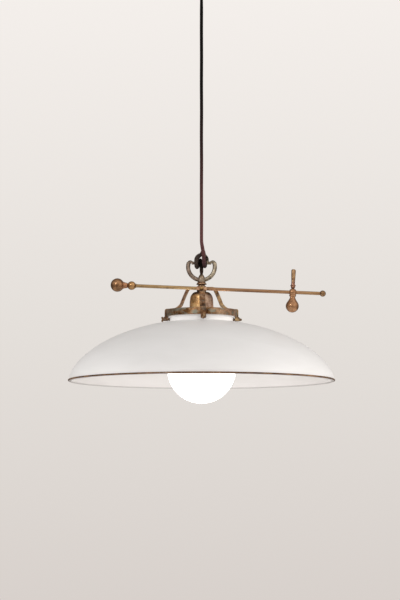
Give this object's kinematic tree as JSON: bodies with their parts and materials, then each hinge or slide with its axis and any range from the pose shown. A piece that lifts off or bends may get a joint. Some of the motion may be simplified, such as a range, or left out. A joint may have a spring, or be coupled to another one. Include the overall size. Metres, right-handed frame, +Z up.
{
  "type": "pendant lamp",
  "caption": "Pendant lamp with a domed opal glass shade in a four-arm brass gallery, a cast suspension ring on a textile cord and a weighted cross lever with a sliding weight.",
  "frame": {"origin": "centre of the two ceiling holes, on the plane of the ceiling", "axes": "+Z up into the ceiling, +X along the cross lever towards the sliding weight, -Y towards the front, where the pivot screw is"},
  "size_m": [0.4881, 0.4882, 0.823],
  "materials": {
    "zinc": "zinc-plated steel strip and thread",
    "cup_brass": "aged lacquered brass, spun",
    "screw_brass": "turned brass",
    "steel": "plain steel fastener",
    "terminal_plastic": "white polyamide",
    "core_plastic": "coloured core insulation",
    "cord_textile": "braided textile over a round cable, dark brown",
    "ring_bronze": "cast bronze, grey-brown patina",
    "gallery_brass": "cast brass, brown and grey patina",
    "bell_brass": "spun brass, golden with a mauve tarnish",
    "lever_brass": "drawn and turned brass, worn satin",
    "opal_glass": "blown opal glass, satin gloss",
    "amber_glass": "amber glass thread fused on the rim",
    "bulb_glass": "opal-coated glass bulb",
    "nickel": "nickel-plated brass",
    "ceramic": "glazed porcelain",
    "black_glass": "black cap insulation",
    "clear_glass": "clear glass stem and filaments"
  },
  "bodies": {
    "ceiling_set": {"ceiling_bracket": "zinc", "ceiling_cup": "cup_brass", "cup_side_screws": "screw_brass", "grip_nipple": "zinc", "nipple_nuts": "zinc", "cord_grip": "cup_brass", "grip_screw": "steel", "terminal_block": "terminal_plastic", "terminal_screws": "steel", "ceiling_cores": "core_plastic", "cord_in_grip": "cord_textile"},
    "cord_link": {"cord_bend": "cord_textile"},
    "hanging_cord": {"cord_hanging": "cord_textile"},
    "head": {"cord_knot": "cord_textile", "cord_tail": "cord_textile", "suspension_ring": "ring_bronze", "cable_inlet": "ring_bronze", "ring_collar": "ring_bronze", "stem_tube": "zinc", "arm_spider": "gallery_brass", "gallery_band": "gallery_brass", "band_rivets": "gallery_brass", "bell_cup": "bell_brass", "bell_nut": "steel", "holder_cap": "nickel", "holder_skirt": "nickel", "holder_insert": "ceramic", "holder_shell": "nickel", "holder_contact": "nickel", "holder_cores": "core_plastic", "glass_shade": "opal_glass", "shade_rim_thread": "amber_glass", "pivot_screw": "screw_brass", "pivot_washer": "steel"},
    "lever": {"lever_boss": "lever_brass", "left_rod": "lever_brass", "right_rod": "lever_brass", "left_collar": "lever_brass", "small_ball": "lever_brass", "large_ball": "lever_brass", "end_knob": "lever_brass"},
    "slider": {"slider_ball": "lever_brass", "slider_pear": "lever_brass"},
    "clamp_handle": {"slider_handle": "lever_brass"},
    "screw_right": {"thumbscrew_right": "screw_brass"},
    "screw_back": {"thumbscrew_back": "screw_brass"},
    "screw_left": {"thumbscrew_left": "screw_brass"},
    "screw_front": {"thumbscrew_front": "screw_brass"},
    "bulb": {"bulb_globe": "bulb_glass", "bulb_cap": "nickel", "bulb_contact": "black_glass", "bulb_mount": "clear_glass"}
  },
  "joints": [
    {"name": "swing_front", "type": "hinge", "parent": "ceiling_set", "child": "cord_link", "pos_m": [0, 0, -0.059], "axis": [1, 0, 0], "range_deg": [-12, 12]},
    {"name": "swing_side", "type": "hinge", "parent": "cord_link", "child": "hanging_cord", "pos_m": [0, 0, -0.075], "axis": [0, 1, 0], "range_deg": [-12, 12]},
    {"name": "head_twist", "type": "hinge", "parent": "hanging_cord", "child": "head", "pos_m": [0, 0, -0.52235], "axis": [0, 0, 1], "range_deg": [-90, 90]},
    {"name": "lever_tilt", "type": "hinge", "parent": "head", "child": "lever", "pos_m": [0, -0.013, -0.6132], "axis": [0, 1, 0], "range_deg": [-7.4, 2.6]},
    {"name": "weight_slide", "type": "slide", "parent": "lever", "child": "slider", "axis": [0.9991, 0, -0.0419], "range_m": [-0.083, 0.039]},
    {"name": "clamp_handle_turn", "type": "hinge", "parent": "slider", "child": "clamp_handle", "pos_m": [0.16715, -0.013, -0.62021], "axis": [0.0419, 0, 0.9991], "range_deg": [-180, 180]},
    {"name": "thumbscrew_right_turn", "type": "hinge", "parent": "head", "child": "screw_right", "pos_m": [0.06551, 0.00343, -0.6691], "axis": [0.9986, 0.0523, 0], "range_deg": [-180, 180]},
    {"name": "thumbscrew_back_turn", "type": "hinge", "parent": "head", "child": "screw_back", "pos_m": [-0.00343, 0.06551, -0.6691], "axis": [-0.0523, 0.9986, 0], "range_deg": [-180, 180]},
    {"name": "thumbscrew_left_turn", "type": "hinge", "parent": "head", "child": "screw_left", "pos_m": [-0.06551, -0.00343, -0.6691], "axis": [-0.9986, -0.0523, 0], "range_deg": [-180, 180]},
    {"name": "thumbscrew_front_turn", "type": "hinge", "parent": "head", "child": "screw_front", "pos_m": [0.00343, -0.06551, -0.6691], "axis": [0.0523, -0.9986, 0], "range_deg": [-180, 180]},
    {"name": "bulb_turn", "type": "hinge", "parent": "head", "child": "bulb", "pos_m": [0, 0, -0.66], "axis": [0, 0, 1], "range_deg": [-180, 180]}
  ]
}
